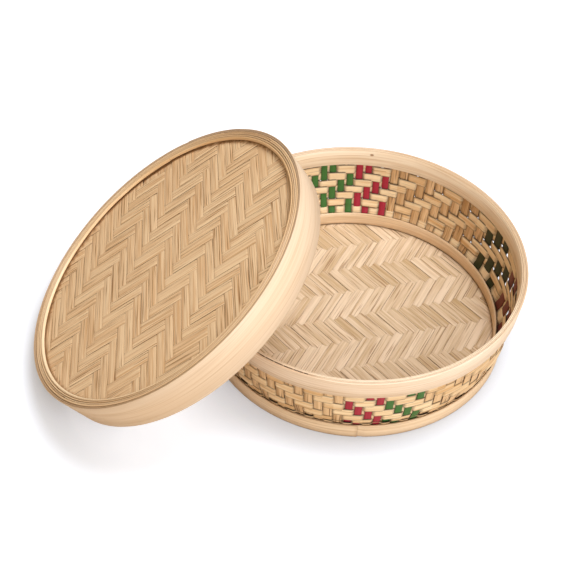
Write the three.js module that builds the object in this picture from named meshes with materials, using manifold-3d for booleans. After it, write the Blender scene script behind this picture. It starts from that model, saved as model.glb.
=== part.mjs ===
// Round bamboo basket with a shallow drop-in lid, in millimetres, +Z up.
// The basket stands on its base with the origin at the centre of its foot, and the lid
// lies beside it, taken off: one end on the table, the other over the basket's left rim.
// The wall is an open 2/2 twill: rings of flat weavers pass over two upright stakes and
// under the next two, one stake further on in each row, so the spots climb in diagonals.
// The lowest row is plain, over one stake and under the next.

import * as THREE from 'three';
import Module from 'manifold-3d';
import { mergeVertices } from 'three/addons/utils/BufferGeometryUtils.js';

const wasm = await Module();
wasm.setup();

// Overall sizes
const rimRadius = 127;
const basketHeight = 72;
const footRadius = 116.4;
const clearance = 0.3;
const facets = 48;

// Wall weave
const stakeCount = 92;
const stakeCover = 0.74;
const narrowPitchAngle = 3.485;
const widePitchAngle = 6.13;
const wideReachAngle = 80;
const stakeThickness = 0.7;
const stakeEndInset = 0.6;
const stakeBedding = 0.65;
const firstStakeAngle = 78.8;
const weaverRows = 7;
const weaveRepeat = 4;
const weaveOver = 2;
const weaveStart = 2;
const weaverThickness = 0.6;
const weaverPlay = 0.25;
const weaverGap = 1.6;
const rowPitchDrop = 1.2;
const lowestRowFoot = 12.8;
const wallBulgeHeight = 34.9;
const wallBulge = 3.3;

// Hoops of the basket
const rimHoopThickness = 1.7;
const rimHoopHeight = 17.1;
const rimLinerThickness = 2.3;
const rimLinerHeight = 14;
const baseHoopThickness = 2.4;
const baseHoopHeight = 14.3;
const baseHoopFlare = 0.056;
const baseLinerThickness = 1.5;
const baseLinerHeight = 13.5;
const lapFacets = 4;
const lapTipShare = 0.35;
const rimHoopLap = 150;
const rimLinerLap = 226;
const baseHoopLap = 246;
const baseLinerLap = 60;

// Mats, each pressed into a shallow tray with its cut edge turned up behind a hoop
const matThickness = 1.6;
const matEdgeThickness = 0.6;
const matEdgeInset = 0.4;

// Lid
const lidRadius = 122.9;
const lidHeight = 28.8;
const lidTaper = 0.1;
const lidBandThickness = 2;
const lidPlyThickness = 1.6;
const lidPlyInset = 0.7;
const lidRecess = 3.9;
const pressHoopThickness = 1.5;
const supportHoopThickness = 3.4;
const supportHoopHeight = 8;
const lidBandLap = 236;
const lidPlyLap = 216;
const pressHoopLaps = [120, 270];
const supportHoopLap = 300;

// How the lid lies beside the basket
const leanAngle = 37.2;
const leanAzimuth = 182.6;
const lidSideShift = 33.5;
const leanClearance = 2.2;

// Dyed stakes: where each of the four groups starts, and how many are red and then green
const dyedGroups = [
  { place: 'back', first: 0, red: 4, green: 5 },
  { place: 'left', first: 27, red: 4, green: 5 },
  { place: 'front', first: 54, red: 4, green: 4 },
  { place: 'right', first: 73, red: 4, green: 4 },
];

const paleBamboo = new THREE.MeshStandardMaterial({ color: 0xf0d9b0, roughness: 0.55, metalness: 0 });
const tanBamboo = new THREE.MeshStandardMaterial({ color: 0xd9b384, roughness: 0.6, metalness: 0 });
const redBamboo = new THREE.MeshStandardMaterial({ color: 0xb02a44, roughness: 0.6, metalness: 0 });
const greenBamboo = new THREE.MeshStandardMaterial({ color: 0x3f7a35, roughness: 0.6, metalness: 0 });

const radians = THREE.MathUtils.degToRad;
const halfTurn = 180;
const facetCos = Math.cos(Math.PI / facets);

// Angle in degrees from a stake to the next: the stakes stand wider apart round azimuth 0
function pitchAt(azimuth) {
  const fromWide = THREE.MathUtils.euclideanModulo(azimuth + halfTurn, 2 * halfTurn) - halfTurn;
  const quarterTurn = Math.PI / 2 * Math.min(Math.abs(fromWide) / wideReachAngle, 1);
  return THREE.MathUtils.lerp(narrowPitchAngle, widePitchAngle, Math.cos(quarterTurn) ** 2);
}

// Azimuths of the stakes in degrees, evened out so that the last pitch closes the circle
const openAzimuths = [firstStakeAngle];
for (let index = 0; index < stakeCount; index += 1) {
  const azimuth = openAzimuths[index];
  openAzimuths.push(azimuth + pitchAt(azimuth + pitchAt(azimuth) / 2));
}
const closingScale = 2 * halfTurn / (openAzimuths[stakeCount] - firstStakeAngle);
const stakeAzimuths = openAzimuths.map((azimuth) => (
  firstStakeAngle + closingScale * (azimuth - firstStakeAngle)
));
const stakeAngle = (index) => radians(stakeAzimuths[index]);
const stakeWidth = (index) => (
  stakeCover * footRadius * radians(closingScale * pitchAt(stakeAzimuths[index]))
);

// Heights of the weaver rows, row 1 under the rim hoop and the rows closer together at the base
const rimHoopFoot = basketHeight - rimHoopHeight;
const highestRowTop = rimHoopFoot - clearance;
const meanRowPitch = (highestRowTop + weaverGap - lowestRowFoot) / weaverRows;
const rowPitch = (row) => meanRowPitch + rowPitchDrop * (0.5 - (row - 1) / (weaverRows - 1));
const rows = [];
let nextTop = highestRowTop;
for (let row = 1; row <= weaverRows; row += 1) {
  rows.push({ row, top: nextTop, foot: nextTop - rowPitch(row) + weaverGap });
  nextTop -= rowPitch(row);
}
const baseRow = rows[weaverRows - 1];

// Middle of the stakes: upright in the base, bulging between, flared at the rim
const weaverOffset = stakeThickness / 2 + weaverPlay + weaverThickness / 2;
const stakeRimRadius = (rimRadius - rimHoopThickness) * facetCos - clearance - stakeThickness / 2;
const baseHoopInner = footRadius + baseHoopFlare * baseRow.foot - baseHoopThickness;
const widestHalfPitch = radians(closingScale * widePitchAngle) / 2;
const weaverBow = (footRadius + weaverOffset) / Math.cos(widestHalfPitch) - footRadius;
const weaverReach = weaverBow + weaverThickness / 2;
const stakeBaseRadius = baseHoopInner * facetCos - clearance / 2 - weaverReach;
const bulgeShare = (wallBulgeHeight - baseRow.top) / (basketHeight - baseRow.top);
const wallProfile = [
  [0, stakeBaseRadius],
  [baseRow.top, stakeBaseRadius],
  [wallBulgeHeight, THREE.MathUtils.lerp(stakeBaseRadius, stakeRimRadius, bulgeShare) + wallBulge],
  [basketHeight, stakeRimRadius],
];

function wallPiece(z) {
  const to = wallProfile.findIndex(([height]) => z <= height);
  const end = to < 0 ? wallProfile.length - 1 : Math.max(to, 1);
  return [wallProfile[end - 1], wallProfile[end]];
}

function wallRadius(z) {
  const [[z0, r0], [z1, r1]] = wallPiece(z);
  return r0 + (r1 - r0) * (z - z0) / (z1 - z0);
}

function wallSlope(z) {
  const [[z0, r0], [z1, r1]] = wallPiece(z);
  return (r1 - r0) / (z1 - z0);
}

function solidGeometry(positions, indices) {
  const geometry = new THREE.BufferGeometry();
  geometry.setAttribute('position', new THREE.Float32BufferAttribute(positions, 3));
  geometry.setIndex(indices);
  geometry.computeVertexNormals();
  return geometry;
}

// A solid through four-cornered sections, closed on itself or capped at both ends.
// Each section lists foot inner, foot outer, top outer and top inner corners.
function sectionSolid(sections, closed) {
  const positions = sections.flat(2);
  const indices = [];
  const last = closed ? sections.length : sections.length - 1;
  for (let i = 0; i < last; i += 1) {
    const here = 4 * i;
    const next = 4 * ((i + 1) % sections.length);
    for (let side = 0; side < 4; side += 1) {
      const a = here + side;
      const b = here + (side + 1) % 4;
      const c = next + (side + 1) % 4;
      const d = next + side;
      indices.push(a, c, b, a, d, c);
    }
  }
  if (!closed) {
    const end = 4 * (sections.length - 1);
    indices.push(0, 1, 2, 0, 2, 3);
    indices.push(end, end + 2, end + 1, end, end + 3, end + 2);
  }
  return solidGeometry(positions, indices);
}

const polar = (radius, angle, z) => [radius * Math.cos(angle), radius * Math.sin(angle), z];

// A hoop bent from one split strip, its two thinned ends lapped over each other.
// The radii are of its outer face at the foot and top, and the lap starts at lapStart, in degrees.
function lappedHoop({ footZ, topZ, footOuter, topOuter, thickness, lapStart }) {
  const endThickness = thickness - clearance;
  const tip = endThickness * lapTipShare;
  const sections = [];
  for (let i = 0; i <= facets + lapFacets; i += 1) {
    const fromHead = i / lapFacets;
    const fromTail = (facets + lapFacets - i) / lapFacets;
    const head = THREE.MathUtils.lerp(tip, endThickness - tip, fromHead);
    const tail = THREE.MathUtils.lerp(tip, endThickness - tip, fromTail);
    const outerCut = fromHead <= 1 ? thickness - head : 0;
    const innerCut = fromTail <= 1 ? thickness - tail : 0;
    const angle = radians(lapStart) + i * 2 * Math.PI / facets;
    sections.push([
      polar(footOuter - thickness + innerCut, angle, footZ),
      polar(footOuter - outerCut, angle, footZ),
      polar(topOuter - outerCut, angle, topZ),
      polar(topOuter - thickness + innerCut, angle, topZ),
    ]);
  }
  return sectionSolid(sections, false);
}

// One upright stake, a flat strip that follows the wall's profile; spare widens it for a slot
function stakeGeometry(index, topZ, spare = 0) {
  const angle = stakeAngle(index);
  const halfWidth = stakeWidth(index) / 2 + spare;
  const heights = [stakeEndInset, baseRow.top, wallBulgeHeight, topZ];
  const sections = heights.map((z) => {
    const corner = (out, across) => {
      const place = new THREE.Vector2(
        wallRadius(z) + out * (stakeThickness / 2 + spare),
        across * halfWidth,
      );
      place.rotateAround(new THREE.Vector2(), angle);
      return [place.x, place.y, z];
    };
    return [corner(-1, 1), corner(1, 1), corner(1, -1), corner(-1, -1)];
  });
  return sectionSolid(sections, false);
}

// Whether the weaver of a row passes outside a stake; the lowest row is plain, over one and under one
function weaverOutside(index, row) {
  if (row === weaverRows) {
    return index % 2 === 0;
  }
  const step = THREE.MathUtils.euclideanModulo(row - index - weaveStart, weaveRepeat);
  return step < weaveOver;
}

// One weaver, a flat ring that crosses the wall in the gaps where it changes sides
function weaverGeometry({ row, foot, top }) {
  const middle = (foot + top) / 2;
  const radius = wallRadius(middle);
  const slope = wallSlope(middle);
  const over = row === weaverRows ? 1 : weaveOver;
  const path = [];
  for (let index = 0; index < stakeCount; index += 1) {
    const after = (index + 1) % stakeCount;
    const here = weaverOutside(index, row);
    const next = weaverOutside(after, row);
    if (here !== next) {
      const pitch = stakeAngle(index + 1) - stakeAngle(index);
      const gapAngle = stakeAngle(index) + pitch / 2;
      const covered = (stakeWidth(index) + stakeWidth(after)) / 2 / radius;
      const quarterGap = (pitch - covered) / 4;
      const outsideRadius = (radius + weaverOffset) / Math.cos(over * pitch / 2 - quarterGap);
      const level = (outside) => (outside ? outsideRadius : radius - weaverOffset);
      path.push({ angle: gapAngle - quarterGap, radius: level(here) });
      path.push({ angle: gapAngle + quarterGap, radius: level(next) });
    }
  }
  const points = path.map((point) => {
    const [x, y] = polar(point.radius, point.angle, 0);
    return new THREE.Vector2(x, y);
  });
  const sections = points.map((point, i) => {
    const before = points[(i + points.length - 1) % points.length];
    const after = points[(i + 1) % points.length];
    const arriving = point.clone().sub(before).normalize();
    const leaving = after.clone().sub(point).normalize();
    const bisector = arriving.clone().add(leaving).normalize();
    const outward = new THREE.Vector2(bisector.y, -bisector.x);
    const stretch = weaverThickness / 2 / outward.dot(new THREE.Vector2(leaving.y, -leaving.x));
    const radial = point.clone().normalize();
    const corner = (side, z) => {
      const place = point.clone().addScaledVector(outward, side * stretch);
      place.addScaledVector(radial, slope * (z - middle));
      return [place.x, place.y, z];
    };
    return [corner(-1, foot), corner(1, foot), corner(1, top), corner(-1, top)];
  });
  return sectionSolid(sections, true);
}

// A round mat pressed into a shallow tray, with its cut edge standing up to edgeTopZ
function matGeometry({ radius, footZ, topZ, edgeTopZ }) {
  const profile = [
    [0, footZ],
    [radius, footZ],
    [radius, edgeTopZ],
    [radius - matEdgeThickness, edgeTopZ],
    [radius - matEdgeThickness, topZ],
    [0, topZ],
  ];
  const lathe = new THREE.LatheGeometry(profile.map(([r, z]) => new THREE.Vector2(r, z)), facets);
  lathe.rotateX(Math.PI / 2);
  return lathe;
}

function toSolid(geometry) {
  const bare = geometry.clone();
  bare.deleteAttribute('normal');
  bare.deleteAttribute('uv');
  const merged = mergeVertices(bare);
  return new wasm.Manifold(new wasm.Mesh({
    numProp: 3,
    vertProperties: new Float32Array(merged.attributes.position.array),
    triVerts: new Uint32Array(merged.index.array),
  }));
}

function fromSolid(solid) {
  const mesh = solid.getMesh();
  return solidGeometry(Array.from(mesh.vertProperties), Array.from(mesh.triVerts));
}

function piece(name, geometry, material) {
  const mesh = new THREE.Mesh(geometry, material);
  mesh.name = name;
  return mesh;
}

// Which stakes are dyed, and their names
function dyedStakes() {
  const dyed = new Map();
  for (const group of dyedGroups) {
    for (let i = 0; i < group.red; i += 1) {
      dyed.set(group.first + i, { name: `red_stake_${group.place}_${i + 1}`, material: redBamboo });
    }
    for (let i = 0; i < group.green; i += 1) {
      const name = `green_stake_${group.place}_${i + 1}`;
      dyed.set(group.first + group.red + i, { name, material: greenBamboo });
    }
  }
  return dyed;
}

// The rim liner carries the plain stakes, let into its outer face, with slots for the dyed ones
function rimLinerWithStakes(dyed) {
  const outer = stakeRimRadius - stakeThickness / 2 + stakeBedding;
  const topZ = basketHeight - stakeEndInset;
  let solid = toSolid(lappedHoop({
    footZ: basketHeight - rimLinerHeight,
    topZ: basketHeight,
    footOuter: outer - wallSlope(basketHeight) * rimLinerHeight,
    topOuter: outer,
    thickness: rimLinerThickness,
    lapStart: rimLinerLap,
  }));
  for (let index = 0; index < stakeCount; index += 1) {
    if (dyed.has(index)) {
      solid = solid.subtract(toSolid(stakeGeometry(index, basketHeight + clearance, clearance)));
    } else {
      solid = solid.add(toSolid(stakeGeometry(index, topZ)));
    }
  }
  return fromSolid(solid);
}

function basket() {
  const group = new THREE.Group();
  const dyed = dyedStakes();
  group.add(piece('rim_outer_hoop', lappedHoop({
    footZ: rimHoopFoot,
    topZ: basketHeight,
    footOuter: rimRadius - wallSlope(basketHeight) * rimHoopHeight,
    topOuter: rimRadius,
    thickness: rimHoopThickness,
    lapStart: rimHoopLap,
  }), paleBamboo));
  group.add(piece('rim_liner_with_stakes', rimLinerWithStakes(dyed), paleBamboo));
  for (const [index, { name, material }] of dyed) {
    group.add(piece(name, stakeGeometry(index, basketHeight - stakeEndInset), material));
  }
  for (const row of rows) {
    group.add(piece(`weaver_${row.row}`, weaverGeometry(row), tanBamboo));
  }
  group.add(piece('base_outer_hoop', lappedHoop({
    footZ: 0,
    topZ: baseHoopHeight,
    footOuter: footRadius,
    topOuter: footRadius + baseHoopFlare * baseHoopHeight,
    thickness: baseHoopThickness,
    lapStart: baseHoopLap,
  }), paleBamboo));
  const matRadius = stakeBaseRadius - stakeThickness / 2 - clearance;
  group.add(piece('floor_mat', matGeometry({
    radius: matRadius,
    footZ: 0,
    topZ: matThickness,
    edgeTopZ: baseRow.foot - clearance,
  }), tanBamboo));
  const baseLinerOuter = (matRadius - matEdgeThickness) * facetCos - clearance;
  group.add(piece('base_inner_hoop', lappedHoop({
    footZ: matThickness + clearance,
    topZ: baseLinerHeight,
    footOuter: baseLinerOuter,
    topOuter: baseLinerOuter,
    thickness: baseLinerThickness,
    lapStart: baseLinerLap,
  }), paleBamboo));
  return group;
}

// The lid in its own frame, with the middle of its top face at the origin
function lid() {
  const group = new THREE.Group();
  const taperedHoop = ({ footZ, topZ, outer, thickness, lapStart }) => lappedHoop({
    footZ,
    topZ,
    footOuter: outer + lidTaper * footZ,
    topOuter: outer + lidTaper * topZ,
    thickness,
    lapStart,
  });
  group.add(piece('lid_outer_band', taperedHoop({
    footZ: -lidHeight,
    topZ: 0,
    outer: lidRadius,
    thickness: lidBandThickness,
    lapStart: lidBandLap,
  }), paleBamboo));
  const plyOuter = lidRadius - lidBandThickness - clearance;
  group.add(piece('lid_inner_ply', taperedHoop({
    footZ: lidPlyInset - lidHeight,
    topZ: -lidPlyInset,
    outer: plyOuter,
    thickness: lidPlyThickness,
    lapStart: lidPlyLap,
  }), paleBamboo));
  const plyInner = plyOuter - lidPlyThickness;
  const matFoot = -lidRecess - matThickness;
  const matRadius = (plyInner + lidTaper * matFoot) * facetCos - clearance;
  group.add(piece('lid_mat', matGeometry({
    radius: matRadius,
    footZ: matFoot,
    topZ: -lidRecess,
    edgeTopZ: -matEdgeInset,
  }), tanBamboo));
  const pressOuter = (matRadius - matEdgeThickness) * facetCos - clearance;
  const pressHoopStep = pressHoopThickness + clearance;
  for (const [i, place] of ['outer', 'inner'].entries()) {
    group.add(piece(`lid_press_hoop_${place}`, lappedHoop({
      footZ: clearance - lidRecess,
      topZ: 0,
      footOuter: pressOuter - i * pressHoopStep,
      topOuter: pressOuter - i * pressHoopStep,
      thickness: pressHoopThickness,
      lapStart: pressHoopLaps[i],
    }), paleBamboo));
  }
  const supportTop = matFoot - clearance;
  group.add(piece('lid_support_hoop', taperedHoop({
    footZ: supportTop - supportHoopHeight,
    topZ: supportTop,
    outer: plyInner * facetCos - clearance,
    thickness: supportHoopThickness,
    lapStart: supportHoopLap,
  }), paleBamboo));
  return group;
}

// The lid tipped towards leanAzimuth: its foot on the table, its open side just over the rim
function leaningLid() {
  const tilt = radians(leanAngle);
  const footReach = lidRadius - lidTaper * lidHeight;
  const leanSpan = (basketHeight * Math.cos(tilt) + leanClearance) / Math.sin(tilt);
  const footDistance = rimRadius + leanSpan;
  const tipped = lid();
  tipped.rotation.y = tilt;
  tipped.position.set(
    footDistance - footReach * Math.cos(tilt) + lidHeight * Math.sin(tilt),
    lidSideShift,
    footReach * Math.sin(tilt) + lidHeight * Math.cos(tilt),
  );
  const turned = new THREE.Group();
  turned.rotation.z = radians(leanAzimuth);
  turned.add(tipped);
  return turned;
}

const object = new THREE.Group();
object.add(basket());
object.add(leaningLid());

export default object;
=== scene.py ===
# Lidded bamboo basket: the woven strips, bent hoops and finishes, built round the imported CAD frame.
# Sizes are in millimetres, unless metres are named. Named angles and azimuths are in degrees, and
# azimuths and laps run from +X.
import math

import bpy
import numpy as np
from mathutils import Matrix, Vector


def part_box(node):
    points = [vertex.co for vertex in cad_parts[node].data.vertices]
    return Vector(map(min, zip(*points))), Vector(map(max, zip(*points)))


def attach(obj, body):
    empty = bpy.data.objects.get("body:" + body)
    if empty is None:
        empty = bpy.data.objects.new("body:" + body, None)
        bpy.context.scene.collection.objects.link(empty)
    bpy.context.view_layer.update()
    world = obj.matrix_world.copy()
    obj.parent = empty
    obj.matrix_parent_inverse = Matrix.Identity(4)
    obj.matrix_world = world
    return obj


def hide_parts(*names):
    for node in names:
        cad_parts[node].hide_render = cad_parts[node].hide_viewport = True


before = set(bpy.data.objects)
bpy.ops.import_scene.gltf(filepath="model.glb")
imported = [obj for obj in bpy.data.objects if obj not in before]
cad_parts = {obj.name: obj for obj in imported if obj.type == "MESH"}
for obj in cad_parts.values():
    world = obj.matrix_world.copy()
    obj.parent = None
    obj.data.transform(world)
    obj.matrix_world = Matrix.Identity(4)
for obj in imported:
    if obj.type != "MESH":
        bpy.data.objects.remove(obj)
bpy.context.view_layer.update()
MM = 0.001


def turn(angle):
    """Unit vector in the XY plane at an angle in radians."""
    return np.array([math.cos(angle), math.sin(angle), 0.0])


def unit(rows):
    """Each row of an array made one long."""
    return rows / np.linalg.norm(rows, axis=-1, keepdims=True)


def smooth_step(x):
    """Rises smoothly from nought to one as x does."""
    x = np.clip(x, 0, 1)
    return x * x * (3 - 2 * x)


# Frames that the pieces are built in


def node_points(node):
    """Vertices of a CAD node, in millimetres."""
    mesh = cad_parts[node].data
    flat = np.zeros(len(mesh.vertices) * 3)
    mesh.vertices.foreach_get("co", flat)
    return flat.reshape(-1, 3) / MM


def lid_placing():
    """Rotation and origin of the lid: its top face is at z 0 and +X runs downhill."""
    points = node_points("lid_mat")
    middle = points.mean(0)
    normal = np.linalg.svd(points - middle)[2][2]
    normal *= np.sign(normal[2])
    downhill = np.array([0, 0, -1.0])
    downhill = unit(downhill - normal * (downhill @ normal))
    top = ((node_points("lid_outer_band") - middle) @ normal).max()
    rotation = np.stack([downhill, np.cross(normal, downhill), normal], 1)
    return rotation, middle + normal * top


BASKET = (np.eye(3), np.zeros(3))
LID = lid_placing()


def placed(points, placing):
    """Points of a body's own frame, in the shared one."""
    rotation, origin = placing
    return points @ rotation.T + origin


def local_points(node, placing):
    """Vertices of a CAD node in a body's own frame."""
    rotation, origin = placing
    return (node_points(node) - origin) @ rotation


# Mesh making

CORNER_LIMIT = 0.45
MAP_SHIFT = 3000
MAP_THROUGH = 0.5
SHARP_ANGLE = 50
# How far the painted shade of the lid's joint with its ring fades in
JOINT_SHADE_REACH = 1.6


class StripMesh:
    """Gathers strips of rounded section into one mesh, with a map along and across each strip.

    A section has ten points, in turn: two on the right side, three on the outer face, two on the left
    side and three on the inner face.
    """

    CAPS = ((9, 0, 1, 2), (9, 2, 3, 8), (8, 3, 4, 7), (7, 4, 5, 6))
    LEFT_OUTER_EDGE = 5

    def __init__(self, seed):
        self.random = np.random.RandomState(seed)
        self.points, self.quads, self.maps, self.tones, self.edges = [], [], [], [], []
        self.count = 0

    def add(self, middle, across, through, width, thickness, *,
            closed=False, corner, bevel=None, crown=0.0, tone=None, stain=1.0, upper=1.0,
            skin=0.0, light_edge=0.0, shade=0.0, joint_radius=None, bend=None):
        """One strip along the rows of middle; across and through are its unit directions there.

        crown raises the middle of both faces. A higher tone is a deeper colour: skin adds to it on the
        outer face, and light_edge takes from it along the left as a painted highlight. stain
        is how brown the cut sides are, partly their own colour and partly painted shade, with upper as their
        outer edge's share. shade darkens the strip towards the same brown as painted shade, and so does the
        painted shade of the joint beyond joint_radius. bend moves the points at last.
        """
        n = len(middle)
        width = np.broadcast_to(width, n)[:, None]
        thickness = np.broadcast_to(thickness, n)[:, None]
        corner = np.minimum(corner, CORNER_LIMIT * thickness)
        half_w, half_t = width / 2, thickness / 2
        flat_w, flat_t = half_w - (corner if bevel is None else bevel), half_t - corner
        zero = np.zeros_like(half_w)
        a = np.concatenate([half_w, half_w, flat_w, zero, -flat_w,
                            -half_w, -half_w, -flat_w, zero, flat_w], 1)
        b = np.concatenate([-flat_t, flat_t, half_t, half_t + crown, half_t,
                            flat_t, -flat_t, -half_t, -half_t - crown, -half_t], 1)
        across, through = np.broadcast_to(across, (n, 3)), np.broadcast_to(through, (n, 3))
        points = middle[:, None] + a[..., None] * across[:, None] + b[..., None] * through[:, None]
        # Painted shade in the joint: darker beyond the radius
        if joint_radius:
            rho = np.linalg.norm(points[..., :2], axis=-1)
            shade = smooth_step((rho - joint_radius) / JOINT_SHADE_REACH)
        if bend:
            points = bend(points)

        m = a.shape[1]
        rows = n if closed else n - 1
        i = np.arange(rows)[:, None] * m
        k = np.arange(m)[None]
        after = (np.arange(1, rows + 1)[:, None] % n) * m
        quads = np.stack([i + k, i + (k + 1) % m, after + (k + 1) % m, after + k], -1).reshape(-1, 4)

        step = np.linalg.norm(np.diff(middle, axis=0, append=middle[:1]), axis=1)
        along = np.concatenate([[0], np.cumsum(step)])
        v = a + b * MAP_THROUGH + self.random.uniform(0, MAP_SHIFT)
        corners_u = np.stack([along[:rows], along[:rows], along[1:rows + 1], along[1:rows + 1]], -1)
        corners_u = np.repeat(corners_u[:, None], m, 1)
        v_here, v_next = v[:rows], v[np.arange(1, rows + 1) % n]
        corners_v = np.stack([v_here, np.roll(v_here, -1, 1), np.roll(v_next, -1, 1), v_next], -1)
        uv = np.stack([corners_u, corners_v], -1).reshape(-1, 4, 2)
        if not closed:
            caps = np.array(self.CAPS)
            for cap, row in ((caps[:, ::-1], 0), (caps, n - 1)):
                quads = np.concatenate([quads, cap + row * m])
                cap_uv = np.stack([np.full(cap.shape, along[row]), v[row][cap]], -1)
                uv = np.concatenate([uv, cap_uv])
        direction = middle[1] - middle[0]
        if np.dot(np.cross(across[0], through[0]), direction) < 0:
            quads, uv = quads[:, ::-1], uv[:, ::-1]

        # Cut sides go brown, partly their own colour and partly painted shade
        side = np.array([1, upper, 0, 0, 0, upper, 1, 0, 0, 0], float)
        stain = np.broadcast_to(stain, n)[:, None]
        edge = np.maximum(side * stain, shade)
        if not closed:
            edge[[0, -1]] = stain[[0, -1]]
        tone = self.random.uniform() if tone is None else tone
        tones = tone + skin * (b > 0)
        # Painted highlight: the left outer edge is made paler
        tones[:, self.LEFT_OUTER_EDGE] -= light_edge

        self.points.append(points.reshape(-1, 3))
        self.quads.append(quads + self.count)
        self.maps.append(uv)
        self.tones.append(tones.ravel())
        self.edges.append(edge.ravel())
        self.count += n * m

    def make(self, name, material, body, slot, nodes, placing=BASKET):
        """The gathered strips as one object that rides on a body and stands for CAD nodes."""
        points = placed(np.concatenate(self.points), placing) * MM
        quads = np.concatenate(self.quads)
        mesh = bpy.data.meshes.new(name)
        mesh.vertices.add(len(points))
        mesh.vertices.foreach_set("co", points.ravel())
        mesh.loops.add(quads.size)
        mesh.loops.foreach_set("vertex_index", quads.ravel())
        mesh.polygons.add(len(quads))
        mesh.polygons.foreach_set("loop_start", np.arange(len(quads)) * 4)
        mesh.update(calc_edges=True)
        layer = mesh.uv_layers.new(name="Strip")
        layer.uv.foreach_set("vector", (np.concatenate(self.maps) * MM).ravel())
        for key, values in (("tone", self.tones), ("edge", self.edges)):
            layer = mesh.attributes.new(key, "FLOAT", "POINT")
            layer.data.foreach_set("value", np.concatenate(values).astype(np.float32))
        mesh.validate()
        mesh.shade_smooth()
        mesh.set_sharp_from_angle(angle=math.radians(SHARP_ANGLE))
        piece = bpy.data.objects.new(name, mesh)
        bpy.context.scene.collection.objects.link(piece)
        mesh.materials.append(material)
        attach(piece, body)
        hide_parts(*nodes)


# Shader nodes


def links_of(material):
    """Nodes, links and main shader of a material."""
    material.use_nodes = True
    tree = material.node_tree
    return tree.nodes, tree.links, tree.nodes["Principled BSDF"]


def value_node(nodes, links, operation, a, b=None, c=None, clamp=False):
    """Result of a sum on numbers or sockets."""
    node = nodes.new("ShaderNodeMath")
    node.operation = operation
    node.use_clamp = clamp
    for socket, value in zip(node.inputs, (a, b, c)):
        if isinstance(value, (int, float)):
            socket.default_value = value
        elif value is not None:
            links.new(value, socket)
    return node.outputs[0]


def mixed(nodes, links, share, a, b):
    """Colour that goes from a to b as share goes from nought to one."""
    node = nodes.new("ShaderNodeMix")
    node.data_type = "RGBA"
    for socket, value in zip((node.inputs[0], node.inputs[6], node.inputs[7]), (share, a, b)):
        if isinstance(value, tuple):
            socket.default_value = (*value, 1)
        else:
            links.new(value, socket)
    return node.outputs[2]


def attribute(nodes, name):
    """Value of a mesh attribute."""
    node = nodes.new("ShaderNodeAttribute")
    node.attribute_name = name
    return node.outputs["Fac"]


NOISE_ROUGHNESS = 0.6


def fibres(nodes, links, along, across, detail, seed):
    """Noise drawn out along the strips; along and across are its repeats per metre."""
    uv = nodes.new("ShaderNodeUVMap")
    uv.uv_map = "Strip"
    scale = nodes.new("ShaderNodeVectorMath")
    scale.operation = "MULTIPLY_ADD"
    scale.inputs[1].default_value = (along, across, 0)
    scale.inputs[2].default_value = (seed, seed, seed)
    links.new(uv.outputs[0], scale.inputs[0])
    noise = nodes.new("ShaderNodeTexNoise")
    noise.inputs["Scale"].default_value = 1
    noise.inputs["Detail"].default_value = detail
    noise.inputs["Roughness"].default_value = NOISE_ROUGHNESS
    links.new(scale.outputs[0], noise.inputs["Vector"])
    return noise.outputs["Fac"]


CREVICE_SAMPLES = 6


def openness(nodes, links, reach, depth=1, samples=CREVICE_SAMPLES):
    """Mask for painted shade, one in the open and less in crevices; reach is in metres, depth darkens it."""
    near = nodes.new("ShaderNodeAmbientOcclusion")
    near.samples = samples
    near.inputs["Distance"].default_value = reach
    return value_node(nodes, links, "POWER", near.outputs["AO"], depth)


KNOT_COLOUR = (0.34, 0.18, 0.08)
KNOT_CENTRE = (10.5, 121.0, 68.4)
KNOT_REACH = (1.7, 1.7, 1.0)
KNOT_SLOPE = 1.6
KNOT_LEVEL = 2.0


def knot_share(nodes, links):
    """One where the knot of the rim lies, fading to nought."""
    place = nodes.new("ShaderNodeTexCoord")
    offset = nodes.new("ShaderNodeVectorMath")
    offset.operation = "MULTIPLY_ADD"
    offset.inputs[1].default_value = [1 / (r * MM) for r in KNOT_REACH]
    offset.inputs[2].default_value = [-c / r for c, r in zip(KNOT_CENTRE, KNOT_REACH)]
    links.new(place.outputs["Object"], offset.inputs[0])
    length = nodes.new("ShaderNodeVectorMath")
    length.operation = "LENGTH"
    links.new(offset.outputs[0], length.inputs[0])
    return value_node(nodes, links, "MULTIPLY_ADD", length.outputs["Value"], -KNOT_SLOPE, KNOT_LEVEL,
                      clamp=True)


# Materials

# Four noises colour bamboo: thin and broad fibres, patches and dark veins. Each has its seed.
THIN_SEED, BROAD_SEED, PATCH_SEED, VEIN_SEED = 3.1, 7.7, 1.3, 11.9
THIN_SHARE = 0.5
BROAD_SHARE = 0.9
BROAD_GRAIN = 0.4
FIBRE_CONTRAST = 2.4
DEEP_SHARE = 0.4
PATCH_REPEATS = (14, 60)
VEIN_GRAIN = 0.7
VEIN_FINENESS = 0.6
VEIN_SLOPE = 9
VEIN_LEVEL = 5.3
VEIN_HOLLOW = 0.8
BROAD_HEIGHT = 0.8
EDGE_SHARE = 0.9
ROUGHNESS_SPREAD = 0.2
BAMBOO_SPECULAR = 0.4
COAT_ROUGHNESS = 0.35


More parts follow.
